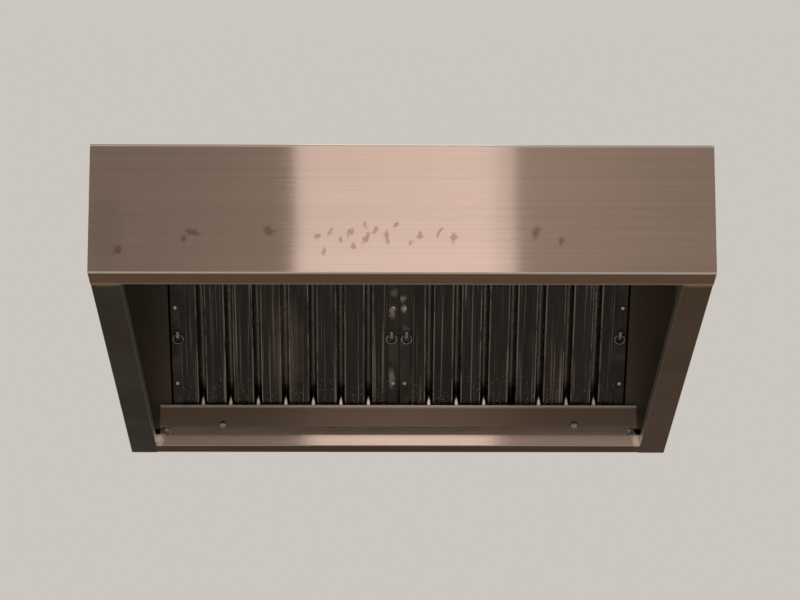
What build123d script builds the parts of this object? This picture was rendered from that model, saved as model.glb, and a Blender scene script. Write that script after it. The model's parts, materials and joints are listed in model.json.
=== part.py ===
from build123d import *
from math import atan2, cos, degrees, hypot, radians, sin
import os

# Extraction canopy in folded stainless sheet, with two baffle filters that lift up their slope.
# X runs along the canopy, -Y is the front, +Z is up. The origin is the middle of the four
# wall-fixing holes, on the back face, which lies on the wall. Millimetres.

# Body of the canopy
canopy_width = 1200.0
canopy_depth = 900.0
canopy_top = 250.0
canopy_bottom = -250.0
front_edge_z = 0.0
sheet = 1.2
fold_radius = 2.5
lid_flange = 15.0
front_return = 20.0

# Gutter round the opening
front_gutter_width = 52.0
side_gutter_width = 58.0
rear_gutter_width = 40.0
gutter_lip = 25.0

# Wall fixings
fixing_span_x = 1040.0
fixing_span_z = 405.0
fixing_hole = 9.0

# Duct spigot on the lid
duct_diameter = 250.0
duct_wall = 1.2
duct_height = 50.0
duct_flange_width = 25.0
duct_bead = 2.5
duct_bead_height = 9.0
duct_from_wall = 160.0

# Grease trough under the filters: its front plate hangs past the floor as an apron
trough_past_filters = 24.5
trough_from_wall = 113.0
plate_foot_z = -206.0
plate_height = 50.0
plate_apron = 16.0
plate_return = 8.0
plate_hem = 5.0
hem_round = 1.0
trough_upstand = 20.0
rest_inset = 5.0

# Baffle filters
filter_width = 495.0
filter_height = 395.0
filter_thickness = 48.0
filter_slope = 55.0
filter_hidden = 25.0
filter_lift = 25.0
filter_sheet = 1.0
filter_flange = 20.0
running_gap = 5.0
seat_gap = 0.3

# Drain slots in a filter's foot, one under each rear baffle
drain_length = 20.0
drain_width = 6.0
drain_inset = 34.0

# Baffles of one filter
baffle_count = 8
baffle_width = 44.0
baffle_from_edge = 12.0
baffle_arm = 27.0
baffle_hook = 4.0
baffle_sheet = 0.8
baffle_radius = 1.6

# Spreader tongues on a filter's lower flange, and its ring pulls
tongue_play = 2.5
tongue_height = 29.0
missing_tongue = 3
ring_radius = 11.0
ring_wire = 3.2
ring_height = 190.0
ring_from_edge = 14.0
ring_play = 0.5
saddle_width = 6.0
saddle_length = 16.0
saddle_wall = 1.2

# Channel over the filters' heads, and the post behind the joint between the filters
head_overlap = 20.0
head_panel_flange = 15.0
head_rear_overlap = 15.0
post_width = 40.0
post_return = 10.0

# Sloping line of the opening, from the front edge down to the wall
half_width = canopy_width / 2
inner_half = half_width - sheet
opening_length = hypot(canopy_depth, front_edge_z - canopy_bottom)
opening_angle = degrees(atan2(front_edge_z - canopy_bottom, canopy_depth))
down_slope = (cos(radians(opening_angle)), -sin(radians(opening_angle)))
off_slope = (sin(radians(opening_angle)), cos(radians(opening_angle)))
lid_under = canopy_top - sheet
fold_strip = 4 * fold_radius
gutter_end = 2 * gutter_lip
punch = 4 * sheet

# Frame of the filters: along their slope (up and forward) and through them, in Y and Z
along = (-cos(radians(filter_slope)), sin(radians(filter_slope)))
through = (sin(radians(filter_slope)), cos(radians(filter_slope)))
trough_top_z = plate_foot_z + plate_height
trough_floor_z = plate_foot_z + plate_apron
plate_back_y = -trough_from_wall + sheet
foot_y = plate_back_y + running_gap / through[0] - filter_hidden * along[0]
foot_z = trough_top_z - filter_hidden * along[1]
filter_centre_x = (filter_width + running_gap) / 2
baffle_span = filter_width - 2 * baffle_from_edge - baffle_width
baffle_pitch = baffle_span / (baffle_count - 1)
tongue_width = baffle_pitch - baffle_width - 2 * tongue_play
head_web = filter_height + filter_lift + running_gap + sheet
head_foot = filter_height - head_overlap
head_bend = head_web + 2 * fold_radius
cheek_edge = filter_centre_x + filter_width / 2 + running_gap
trough_half = cheek_edge + trough_past_filters


def opening_point(run, rise=0.0):
    """A point in Y and Z, run along the opening's slope from its front edge and rise off it."""
    y = -canopy_depth + run * down_slope[0] + rise * off_slope[0]
    z = front_edge_z + run * down_slope[1] + rise * off_slope[1]
    return (y, z)


def filter_point(rise, inset=0.0):
    """A point in Y and Z, rise up the filters' slope and inset behind their front face."""
    y = foot_y + rise * along[0] + inset * through[0]
    z = foot_z + rise * along[1] + inset * through[1]
    return (y, z)


def filter_plane(x, rise=0.0, inset=0.0):
    """The filters' front plane at x: its own x along the canopy, y up the slope, z outwards."""
    y, z = filter_point(rise, inset)
    return Plane(origin=(x, y, z), x_dir=(1, 0, 0), z_dir=(0, -through[0], -through[1]))


def folded_section(plane, corners, thickness, radius, side):
    """The section of a sheet folded at each inner corner of a path, on one side of that path."""
    with BuildSketch(plane) as section:
        with BuildLine():
            FilletPolyline(*corners, radius=radius)
            offset(amount=thickness, side=side)
        make_face()
    return section.sketch


# Front panel: return under the lid, face, floor of the front gutter, and its upturned lip
front_corner = opening_point(0)
gutter_edge = opening_point(front_gutter_width)
return_end_y = -canopy_depth + front_return
with BuildPart() as front_panel:
    face_path = [
        (return_end_y, lid_under),
        (-canopy_depth, lid_under),
        front_corner,
        gutter_edge,
    ]
    face = folded_section(Plane.YZ, face_path, sheet, fold_radius, Side.LEFT)
    extrude(face, amount=half_width, both=True)
    lip_path = [
        opening_point(front_gutter_width / 2),
        gutter_edge,
        opening_point(front_gutter_width, gutter_lip),
    ]
    lip = folded_section(Plane.YZ, lip_path, sheet, fold_radius, Side.LEFT)
    extrude(lip, amount=half_width - side_gutter_width + sheet, both=True)

# Right side panel: a trapezoid folded inwards along its slope into a gutter
with BuildPart() as right_side_panel:
    with BuildSketch(Plane.YZ.offset(inner_half)):
        with BuildLine():
            Polyline(
                (-canopy_depth + sheet, lid_under - 2 * fold_radius),
                (-canopy_depth + 2 * fold_radius, lid_under - sheet),
                (return_end_y, lid_under - sheet),
                (return_end_y, lid_under),
                (0, lid_under),
                opening_point(opening_length + fold_strip * down_slope[1], fold_strip),
                opening_point(front_gutter_width, fold_strip),
                opening_point(front_gutter_width, sheet),
                opening_point(2 * fold_radius, sheet),
                (-canopy_depth + sheet, front_edge_z + 2 * fold_radius),
                close=True,
            )
        make_face()
    extrude(amount=sheet)
    y, z = gutter_edge
    fold_plane = Plane(origin=(half_width, y, z), x_dir=(-1, 0, 0), z_dir=(0, *down_slope))
    side_path = [
        (0, fold_strip),
        (0, 0),
        (side_gutter_width, 0),
        (side_gutter_width, gutter_lip),
    ]
    channel = folded_section(fold_plane, side_path, sheet, fold_radius, Side.LEFT)
    extrude(channel, amount=opening_length)
    split(bisect_by=Plane.XZ, keep=Keep.TOP)
    with Locations((inner_half, 0, canopy_bottom)):
        Box(side_gutter_width, 2 * sheet, 2 * gutter_end,
            align=(Align.MAX, Align.CENTER, Align.CENTER), mode=Mode.SUBTRACT)

with BuildPart() as left_side_panel:
    mirror(right_side_panel.part, about=Plane.YZ)

# Back panel: face on the wall with its fixing holes, and the rear gutter with an upright lip
rear_edge_y, rear_edge_z = opening_point(opening_length - rear_gutter_width)
with BuildPart() as back_panel:
    back_path = [
        (rear_edge_y, rear_edge_z + gutter_lip),
        (rear_edge_y, rear_edge_z),
        opening_point(opening_length),
        (0, lid_under),
    ]
    back_section = folded_section(Plane.YZ, back_path, sheet, fold_radius, Side.LEFT)
    extrude(back_section, amount=half_width - side_gutter_width, both=True)
    with Locations((0, -sheet, canopy_bottom + fold_strip)):
        Box(2 * inner_half, sheet, lid_under - canopy_bottom - fold_strip,
            align=(Align.CENTER, Align.MIN, Align.MIN))
    for side in (-1, 1):
        corner_x = side * (half_width - (side_gutter_width + sheet) / 2)
        with Locations((corner_x, -sheet, canopy_bottom)):
            Box(side_gutter_width - sheet, sheet, 2 * fold_strip,
                align=(Align.CENTER, Align.MIN, Align.MIN))
    with Locations(Plane.XZ):
        with GridLocations(fixing_span_x, fixing_span_z, 2, 2):
            Cylinder(fixing_hole / 2, punch, mode=Mode.SUBTRACT)

# Lid: flat sheet with flanges turned down inside three walls, and the duct's hole
with BuildPart() as top_panel:
    with Locations((0, -canopy_depth / 2, lid_under)):
        Box(canopy_width, canopy_depth, sheet, align=(Align.CENTER, Align.CENTER, Align.MIN))
    with BuildSketch(Plane.XY.offset(lid_under)):
        with Locations((0, return_end_y + sheet)):
            flange_run = -return_end_y - 2 * sheet
            Rectangle(2 * inner_half, flange_run, align=(Align.CENTER, Align.MIN))
            Rectangle(2 * inner_half - 2 * sheet, flange_run - sheet,
                      align=(Align.CENTER, Align.MIN), mode=Mode.SUBTRACT)
    extrude(amount=-lid_flange)
    with Locations((0, -duct_from_wall, lid_under)):
        Cylinder(duct_diameter / 2 - duct_wall, punch, mode=Mode.SUBTRACT)

# Duct spigot: flanged collar with a stop bead, standing on the lid
duct_radius = duct_diameter / 2
with BuildPart() as duct_spigot:
    with BuildSketch(Plane.XZ):
        with BuildLine():
            Polyline(
                (duct_radius - duct_wall, canopy_top),
                (duct_radius + duct_flange_width, canopy_top),
                (duct_radius + duct_flange_width, canopy_top + sheet),
                (duct_radius, canopy_top + sheet),
                (duct_radius, canopy_top + duct_bead_height - duct_bead),
            )
            ThreePointArc(
                (duct_radius, canopy_top + duct_bead_height - duct_bead),
                (duct_radius + duct_bead, canopy_top + duct_bead_height),
                (duct_radius, canopy_top + duct_bead_height + duct_bead),
            )
            Polyline(
                (duct_radius, canopy_top + duct_bead_height + duct_bead),
                (duct_radius, canopy_top + duct_height),
                (duct_radius - duct_wall, canopy_top + duct_height),
                (duct_radius - duct_wall, canopy_top),
            )
        make_face()
    revolve(axis=Axis.Z)
duct_spigot.part.position = (0, -duct_from_wall, 0)

# Grease trough: floor and rear upstand welded to a front plate, and closed at both ends
seam = sheet / 2
with BuildPart() as grease_trough:
    plate_path = [
        (-trough_from_wall + plate_return, plate_foot_z),
        (-trough_from_wall, plate_foot_z),
        (-trough_from_wall, trough_top_z),
    ]
    plate_section = folded_section(Plane.YZ, plate_path, sheet, fold_radius, Side.RIGHT)
    extrude(plate_section, amount=trough_half, both=True)
    with BuildSketch(Plane.YZ):
        with Locations((-trough_from_wall, trough_top_z)):
            hem = Rectangle(2 * sheet, plate_hem, align=(Align.CENTER, Align.MAX))
        fillet(hem.vertices().group_by(Axis.Y)[-1], hem_round)
    extrude(amount=trough_half, both=True)
    floor_path = [
        (-trough_from_wall + seam, trough_floor_z),
        (-sheet, trough_floor_z),
        (-sheet, trough_floor_z + trough_upstand),
    ]
    floor_section = folded_section(Plane.YZ, floor_path, sheet, fold_radius, Side.LEFT)
    extrude(floor_section, amount=trough_half, both=True)
    for side in (-1, 1):
        with BuildSketch(Plane.YZ.offset(side * (trough_half - seam))):
            with BuildLine():
                Polyline(
                    (-trough_from_wall + seam, trough_top_z),
                    (-trough_from_wall + seam, trough_floor_z + seam),
                    (-sheet - seam, trough_floor_z + seam),
                    (-sheet - seam, trough_floor_z + trough_upstand),
                    close=True,
                )
            make_face()
        extrude(amount=seam, both=True)

# Filter rest: inverted channel in the trough whose top takes the filters' feet
rest_front = filter_point(-seat_gap, rest_inset)
rest_back = filter_point(-seat_gap, filter_thickness + running_gap + post_return + fold_radius)
with BuildPart() as filter_rest:
    rest_path = [
        (rest_front[0], trough_floor_z + sheet),
        rest_front,
        rest_back,
        (rest_back[0], trough_floor_z + sheet),
    ]
    rest_section = folded_section(Plane.YZ, rest_path, sheet, fold_radius, Side.RIGHT)
    extrude(rest_section, amount=trough_half - 2 * sheet, both=True)

# Head panel: closes the space over the filters and hides their heads
with BuildPart() as head_panel:
    bend_y, bend_z = filter_point(head_bend, -running_gap)
    head_path = [
        (bend_y - head_panel_flange, lid_under),
        (bend_y, lid_under),
        (bend_y, bend_z),
        filter_point(head_foot, -running_gap),
    ]
    head_section = folded_section(Plane.YZ, head_path, sheet, fold_radius, Side.RIGHT)
    extrude(head_section, amount=inner_half - sheet, both=True)

channel_foot = filter_height - head_rear_overlap

# Head channel: web over the filters' heads and the wall behind them
with BuildPart() as head_channel:
    channel_path = [
        filter_point(head_web - sheet, -running_gap),
        filter_point(head_web - sheet, filter_thickness + running_gap),
        filter_point(channel_foot, filter_thickness + running_gap),
    ]
    channel_section = folded_section(Plane.YZ, channel_path, sheet, fold_radius, Side.LEFT)
    extrude(channel_section, amount=inner_half, both=True)

# Centre post: strip behind the joint between the filters, from their rest to the head channel
with BuildPart() as centre_post:
    post_base = filter_plane(0, channel_foot, filter_thickness + running_gap)
    with BuildSketch(Plane(origin=post_base.origin, x_dir=(1, 0, 0), z_dir=(0, *along))):
        Rectangle(post_width, sheet, align=(Align.CENTER, Align.MIN))
        for side in (-1, 1):
            with Locations((side * (post_width - sheet) / 2, 0)):
                Rectangle(sheet, post_return, align=(Align.CENTER, Align.MIN))
    extrude(amount=-channel_foot - seat_gap)

# Right cheek: closes the bank between the filter and the side, folded back beside the filter
cheek_low = opening_point(0, gutter_lip + seat_gap)
with BuildPart() as right_cheek:
    with BuildSketch(filter_plane(0)):
        with Locations((cheek_edge, -filter_height / 2)):
            Rectangle(inner_half - cheek_edge, filter_height / 2 + head_web - sheet,
                      align=(Align.MIN, Align.MIN))
    extrude(amount=-sheet)
    with BuildSketch(filter_plane(0)):
        with Locations((cheek_edge, 0)):
            Rectangle(sheet, head_web - sheet, align=(Align.MIN, Align.MIN))
    extrude(amount=-filter_thickness)
    with Locations((trough_half + seat_gap, 0, trough_top_z + seat_gap)):
        Box(canopy_width, canopy_depth, canopy_depth,
            align=(Align.MAX, Align.CENTER, Align.MAX), mode=Mode.SUBTRACT)
    below = Plane(origin=(0, *cheek_low), x_dir=(1, 0, 0), z_dir=(0, *off_slope))
    split(bisect_by=below, keep=Keep.TOP)

with BuildPart() as left_cheek:
    mirror(right_cheek.part, about=Plane.YZ)


def baffle_plane(x):
    """The plane across the baffles at a filter's foot: its y goes back through the filter."""
    y, z = filter_point(filter_sheet)
    return Plane(origin=(x, y, z), x_dir=(1, 0, 0), z_dir=(0, *along))


def filter_frame(x, missing):
    """One filter's channel frame, with a tongue between each pair of front baffles."""
    inside = filter_plane(x, filter_height / 2, filter_thickness / 2)
    with BuildPart() as frame:
        with Locations(inside):
            Box(filter_width, filter_height, filter_thickness)
            Box(filter_width - 2 * filter_sheet, filter_height - 2 * filter_sheet,
                filter_thickness - 2 * filter_sheet, mode=Mode.SUBTRACT)
            Box(filter_width - 2 * filter_flange, filter_height - 2 * filter_flange,
                2 * filter_thickness, mode=Mode.SUBTRACT)
        with BuildSketch(baffle_plane(x)):
            with Locations((0, drain_inset)):
                with GridLocations(baffle_pitch, drain_width, baffle_count - 1, 1):
                    SlotOverall(drain_length, drain_width)
        extrude(amount=-filter_sheet, mode=Mode.SUBTRACT)
        tongue_y, tongue_z = filter_point(filter_flange - filter_sheet)
        tongue_side = hypot(tongue_width / 2, tongue_height)
        with BuildSketch(Plane.XZ.offset(-tongue_y)):
            for number in range(baffle_count - 1):
                if number == missing:
                    continue
                offset_x = (number - (baffle_count - 2) / 2) * baffle_pitch
                with Locations((x + offset_x, tongue_z)):
                    Triangle(a=tongue_width, b=tongue_side, c=tongue_side,
                             align=(Align.CENTER, Align.MIN))
        extrude(amount=-filter_sheet)
    return frame.part


def baffle_section(plane, face_inset, arm):
    """The section of one baffle: a face and two arms that end in hooks turned inwards."""
    half = baffle_width / 2
    tip = face_inset + arm
    path = [
        (-half + baffle_hook, tip),
        (-half, tip),
        (-half, face_inset),
        (half, face_inset),
        (half, tip),
        (half - baffle_hook, tip),
    ]
    inner = Side.LEFT if arm > 0 else Side.RIGHT
    return folded_section(plane, path, baffle_sheet, baffle_radius, inner)


def baffle_row(x, offsets, face_inset, arm):
    """A row of baffles that stand between the frame's foot and head."""
    with BuildPart() as row:
        for offset_x in offsets:
            section = baffle_section(baffle_plane(x + offset_x), face_inset, arm)
            extrude(section, amount=filter_height - 2 * filter_sheet)
    return row.part


def ring_pulls(x):
    """The ring pulls on a filter's two side flanges, each under its saddle."""
    side_x = filter_width / 2 - ring_from_edge
    wire_lift = ring_play + ring_wire / 2
    with BuildPart() as pulls:
        for side in (-1, 1):
            ring_place = filter_plane(x + side * side_x, ring_height, -wire_lift)
            with Locations(ring_place):
                Torus(ring_radius, ring_wire / 2)
            saddle_place = filter_plane(x + side * side_x, ring_height + ring_radius)
            tunnel = ring_wire + 2 * ring_play
            with Locations(saddle_place):
                Box(saddle_width, saddle_length, tunnel + saddle_wall,
                    align=(Align.CENTER, Align.CENTER, Align.MIN))
                Box(2 * saddle_width, tunnel, tunnel,
                    align=(Align.CENTER, Align.CENTER, Align.MIN), mode=Mode.SUBTRACT)
    return pulls.part


front_offsets = [(n - (baffle_count - 1) / 2) * baffle_pitch for n in range(baffle_count)]
rear_offsets = [(n - (baffle_count - 2) / 2) * baffle_pitch for n in range(baffle_count - 1)]

named = {
    "front_panel": front_panel.part,
    "left_side_panel": left_side_panel.part,
    "right_side_panel": right_side_panel.part,
    "back_panel": back_panel.part,
    "top_panel": top_panel.part,
    "duct_spigot": duct_spigot.part,
    "grease_trough": grease_trough.part,
    "filter_rest": filter_rest.part,
    "head_panel": head_panel.part,
    "head_channel": head_channel.part,
    "centre_post": centre_post.part,
    "left_cheek": left_cheek.part,
    "right_cheek": right_cheek.part,
}
for name, x, missing in (
    ("left", -filter_centre_x, None),
    ("right", filter_centre_x, missing_tongue),
):
    named[f"{name}_filter_frame"] = filter_frame(x, missing)
    named[f"{name}_front_baffles"] = baffle_row(x, front_offsets, filter_sheet, baffle_arm)
    named[f"{name}_rear_baffles"] = baffle_row(
        x, rear_offsets, filter_thickness - filter_sheet, -baffle_arm
    )
    named[f"{name}_ring_pulls"] = ring_pulls(x)

os.makedirs("parts", exist_ok=True)
for name, solid in named.items():
    solid.label = name
    export_step(solid, f"parts/{name}.step")
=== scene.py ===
"""Looks of a stainless extraction canopy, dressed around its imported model.

The canopy hangs above head height, so the camera looks up at it from floor level.
Everything is in metres: X runs along the canopy, -Y is its front and +Z is up.
"""

import json
import logging
import math
from collections.abc import Callable, Iterable, Iterator
from contextlib import contextmanager
from dataclasses import dataclass
from enum import Enum

import bmesh
import bpy
import numpy as np
from mathutils import Matrix, Vector


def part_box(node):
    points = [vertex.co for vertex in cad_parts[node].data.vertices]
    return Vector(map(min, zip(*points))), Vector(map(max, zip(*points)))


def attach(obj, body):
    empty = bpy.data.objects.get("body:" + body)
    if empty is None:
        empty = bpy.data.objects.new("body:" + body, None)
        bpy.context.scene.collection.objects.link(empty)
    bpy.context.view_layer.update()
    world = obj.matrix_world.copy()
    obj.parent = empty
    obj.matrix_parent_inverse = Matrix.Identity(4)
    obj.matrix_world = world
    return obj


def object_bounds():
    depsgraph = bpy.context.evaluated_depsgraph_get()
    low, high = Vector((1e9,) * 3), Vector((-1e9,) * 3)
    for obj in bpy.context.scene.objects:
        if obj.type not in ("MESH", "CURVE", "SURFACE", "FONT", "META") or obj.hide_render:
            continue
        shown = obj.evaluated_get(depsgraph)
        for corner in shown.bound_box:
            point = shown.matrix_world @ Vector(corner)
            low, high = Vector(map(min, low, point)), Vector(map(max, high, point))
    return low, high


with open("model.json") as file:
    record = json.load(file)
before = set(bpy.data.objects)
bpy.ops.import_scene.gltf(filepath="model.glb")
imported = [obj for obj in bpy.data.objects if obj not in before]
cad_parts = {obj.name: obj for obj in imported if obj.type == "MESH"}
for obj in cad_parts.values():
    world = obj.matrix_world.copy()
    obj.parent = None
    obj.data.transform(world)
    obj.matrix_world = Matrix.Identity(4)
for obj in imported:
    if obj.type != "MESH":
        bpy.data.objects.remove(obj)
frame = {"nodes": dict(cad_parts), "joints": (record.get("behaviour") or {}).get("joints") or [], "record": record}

log = logging.getLogger("canopy")
cad_low, cad_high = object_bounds()

Colour = tuple[float, float, float]
Socket = bpy.types.NodeSocket

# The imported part's own sizes
SHEET = 0.0012
FILTER_SHEET = 0.001
FILTER_WIDTH = 0.495
FILTER_HEIGHT = 0.395
FRONT_GUTTER = 0.052
SIDE_GUTTER = 0.058
REAR_GUTTER = 0.040
BAFFLE_PITCH = 0.061
BAFFLE_WIDTH = 0.044
BAFFLE_COUNT = 8
PLATE_HEIGHT = 0.050
CANOPY_TOP = 0.250
GUTTER_SLOPE = math.tan(math.radians(15.5))

# What the loops run over
SIDES = (-1, 1)
FILTERS = ("left", "right")

# A mark's reach along an axis on which it doesn't fade
ENDLESS = 9.0


class Grain(Enum):
    """The direction in which a sheet was brushed, as a unit vector."""

    ALONG = (1.0, 0.0, 0.0)
    DEEP = (0.0, 1.0, 0.0)


class Nodes:
    """A node tree, with short calls for the nodes that the finishes and the studio share."""

    def __init__(self, tree: bpy.types.NodeTree, space: str) -> None:
        """Starts on a tree and names the coordinates that its patterns read."""
        self.tree = tree
        self.space = self.node("ShaderNodeTexCoord").outputs[space]

    def node(self, kind: str, values: dict | None = None, **settings: object) -> bpy.types.Node:
        """Adds a node.

        Args:
            kind: The node's type.
            values: Inputs by name or number, each a socket to link or a value to set.
            settings: Properties of the node.

        Returns:
            The new node.
        """
        made = self.tree.nodes.new(kind)
        for name, value in settings.items():
            setattr(made, name, value)
        for name, value in (values or {}).items():
            self.feed(made.inputs[name], value)
        return made

    def feed(self, socket: Socket, value: object) -> None:
        """Links a socket to another one, or sets its value.

        Args:
            socket: The input to feed.
            value: A socket to link, or a value to set.
        """
        if isinstance(value, bpy.types.NodeSocket):
            self.tree.links.new(value, socket)
        else:
            socket.default_value = value

    def scalar(self, operation: str, *values: object, clamp: bool = False) -> Socket:
        """A Math node's result."""
        inputs = dict(enumerate(values))
        return self.node("ShaderNodeMath", inputs, operation=operation, use_clamp=clamp).outputs[0]

    def times(self, value: object, other: object, clamp: bool = False) -> Socket:
        """Two numbers multiplied."""
        return self.scalar("MULTIPLY", value, other, clamp=clamp)

    def vector(self, operation: str, *values: object, out: int | str = 0) -> Socket:
        """A Vector Math node's result."""
        inputs = dict(enumerate(values))
        return self.node("ShaderNodeVectorMath", inputs, operation=operation).outputs[out]

    def scaled(self, colour: Colour, factor: Socket) -> Socket:
        """A colour times a number."""
        inputs = {0: colour, 3: factor}
        return self.node("ShaderNodeVectorMath", inputs, operation="SCALE").outputs[0]

    def axis(self, name: str) -> Socket:
        """One of the object's coordinates: X, Y or Z."""
        return self.node("ShaderNodeSeparateXYZ", {0: self.space}).outputs[name]

    def stretched(self, scale: Iterable[float]) -> Socket:
        """Object coordinates with each axis multiplied."""
        inputs = {"Vector": self.space, "Scale": tuple(scale)}
        return self.node("ShaderNodeMapping", inputs).outputs[0]

    def noise(self, scale: Iterable[float], detail: float = 2.0, distortion: float = 0.0) -> Socket:
        """Makes noise.

        Args:
            scale: Its waves a metre along each axis.
            detail: How many finer layers it has.
            distortion: How much it is stirred.

        Returns:
            The noise, from 0 to 1.
        """
        inputs = {
            "Vector": self.stretched(scale),
            "Scale": 1.0,
            "Detail": detail,
            "Distortion": distortion,
        }
        return self.node("ShaderNodeTexNoise", inputs).outputs[0]

    def ease(
        self, value: Socket, low: float, high: float, start: float = 0.0, end: float = 1.0
    ) -> Socket:
        """Turns a value into a smooth step.

        Args:
            value: The value that the step follows.
            low: Where the step starts.
            high: Where it ends.
            start: The result up to low.
            end: The result from high on.

        Returns:
            The step.
        """
        inputs = {
            "Value": value,
            "From Min": low,
            "From Max": high,
            "To Min": start,
            "To Max": end,
        }
        made = self.node("ShaderNodeMapRange", inputs, interpolation_type="SMOOTHSTEP")
        return made.outputs[0]

    def blend(self, share: object, under: object, over: object) -> Socket:
        """Lays a colour over another one.

        Args:
            share: How much of the upper colour shows, from 0 to 1.
            under: The lower colour.
            over: The upper colour.

        Returns:
            The blended colour.
        """
        made = self.node("ShaderNodeMix", data_type="RGBA")
        colours = [s for s in made.inputs if s.type == "RGBA"]
        self.feed(made.inputs[0], share)
        for socket, colour in zip(colours, (under, over)):
            self.feed(socket, (*colour, 1.0) if isinstance(colour, tuple) else colour)
        return next(s for s in made.outputs if s.type == "RGBA")

    def drift(self, waves: float) -> Socket:
        """Makes a vector that wanders about nothing.

        Args:
            waves: Its waves a metre.

        Returns:
            The vector, half a unit long at most along each axis.
        """
        inputs = {"Vector": self.stretched((waves,) * 3), "Scale": 1.0, "Detail": 3.0}
        noise = self.node("ShaderNodeTexNoise", inputs).outputs["Color"]
        return self.vector("SUBTRACT", noise, (0.5, 0.5, 0.5))

    def mixed(self, share: object, under: object, over: object) -> Socket:
        """A number between two others."""
        made = self.node("ShaderNodeMix", {0: share, 2: under, 3: over}, data_type="FLOAT")
        return made.outputs[0]

    def bump(self, height: Socket, depth: float, under: Socket | None = None) -> Socket:
        """Turns a height into a normal.

        Args:
            height: The height, from 0 to 1.
            depth: How many metres a height of 1 is.
            under: The normal of a coarser relief that it lies on.

        Returns:
            The normal.
        """
        inputs = {"Height": height, "Strength": 1.0, "Distance": depth}
        if under is not None:
            inputs["Normal"] = under
        return self.node("ShaderNodeBump", inputs).outputs[0]

    def seen(self) -> Socket:
        """Tells what the eye sees from what lights.

        Returns:
            1 for what is seen, straight or in metal or glass, and 0 for what lights.
        """
        path = self.node("ShaderNodeLightPath").outputs
        direct = self.scalar("MAXIMUM", path["Is Camera Ray"], path["Is Glossy Ray"])
        return self.scalar("MAXIMUM", direct, path["Is Transmission Ray"])

    def end(self, kind: str, share: Socket, under: Socket, over: Socket) -> None:
        """Mixes two shaders and ends the tree with them."""
        mix = self.node("ShaderNodeMixShader", {0: share, 1: under, 2: over})
        self.feed(self.tree.nodes[kind].inputs["Surface"], mix.outputs[0])


class Recipe(Nodes):
    """One material's node tree."""

    def __init__(self, name: str) -> None:
        """Starts a material with its shader.

        Args:
            name: The material's name.
        """
        self.material = bpy.data.materials.new(name)
        self.material.use_nodes = True
        super().__init__(self.material.node_tree, "Object")
        self.shader = self.tree.nodes["Principled BSDF"]

    def normal(self) -> Socket:
        """The surface's normal."""
        return self.node("ShaderNodeNewGeometry").outputs["Normal"]

    def facing(self, name: str) -> Socket:
        """One part of the surface's normal: X, Y or Z."""
        return self.node("ShaderNodeSeparateXYZ", {0: self.normal()}).outputs[name]

    def across(self, grain: Grain) -> Socket:
        """The direction on the surface square to a grain, which brushed metal's gloss follows.

        A nudge keeps it from coming to nothing on a face that looks along the grain.
        """
        nudge = (0.002, 0.003, 0.001)
        return self.vector("ADD", self.vector("CROSS_PRODUCT", self.normal(), grain.value), nudge)

    def pitches(self, middle: float) -> Socket:
        """How many pitches of the baffles a point is from a filter's middle, towards +X."""
        return self.scalar("DIVIDE", self.scalar("SUBTRACT", self.axis("X"), middle), BAFFLE_PITCH)

    def off_centre(self, pitches: Socket) -> Socket:
        """How far a point is from the nearest whole number of pitches, as a share of one."""
        off = self.scalar("SUBTRACT", pitches, self.scalar("ROUND", pitches))
        return self.scalar("ABSOLUTE", off)

    def finish(self, **sockets: object) -> bpy.types.Material:
        """Feeds the shader's sockets and returns the material.

        Args:
            sockets: What goes into each socket, with underscores for the spaces of its name.

        Returns:
            The finished material.
        """
        for name, value in sockets.items():
            words = name.replace("_", " ").title().replace("Ior", "IOR")
            socket = self.shader.inputs[words]
            self.feed(socket, (*value, 1.0) if isinstance(value, tuple) else value)
        return self.material


@dataclass(frozen=True)
class Mark:
    """A stain, a smudge, a heat tint or a painted highlight, fading out from its middle.

    Args:
        place: Its middle.
        reach: How far it goes along each axis.
        tone: Its colour.
        strength: Its cover at the middle.
        ragged: How much its outline wanders, from 0 to 1.
        lean: How far its top leans towards +X, in radians.
        fade: Where it starts to fade and where it is gone, as shares of its reach.
        wander: The scale of the noise that shifts its outline where it is fully ragged.
    """

    place: tuple[float, float, float]
    reach: tuple[float, float, float]
    tone: Colour
    strength: float
    ragged: float = 0.0
    lean: float = 0.0
    fade: tuple[float, float] = (0.35, 1.15)
    wander: float = 0.05

    def cover(self, recipe: Recipe, drift: Socket) -> Socket:
        """The share of the surface that the mark covers.

        Args:
            recipe: The material's tree.
            drift: A vector of noise about nothing, which shifts the mark's outline.

        Returns:
            The share, from 0 to the mark's strength.
        """
        shift = (self.wander * self.ragged,) * 3
        moved = recipe.vector("MULTIPLY_ADD", drift, shift, recipe.space)
        inputs = {
            "Vector": moved,
            "Location": self.place,
            "Rotation": (0.0, self.lean, 0.0),
            "Scale": self.reach,
        }
        local = recipe.node("ShaderNodeMapping", inputs, vector_type="TEXTURE").outputs[0]
        away = recipe.vector("LENGTH", local, out="Value")
        return recipe.ease(away, *self.fade, self.strength, 0.0)


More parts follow.
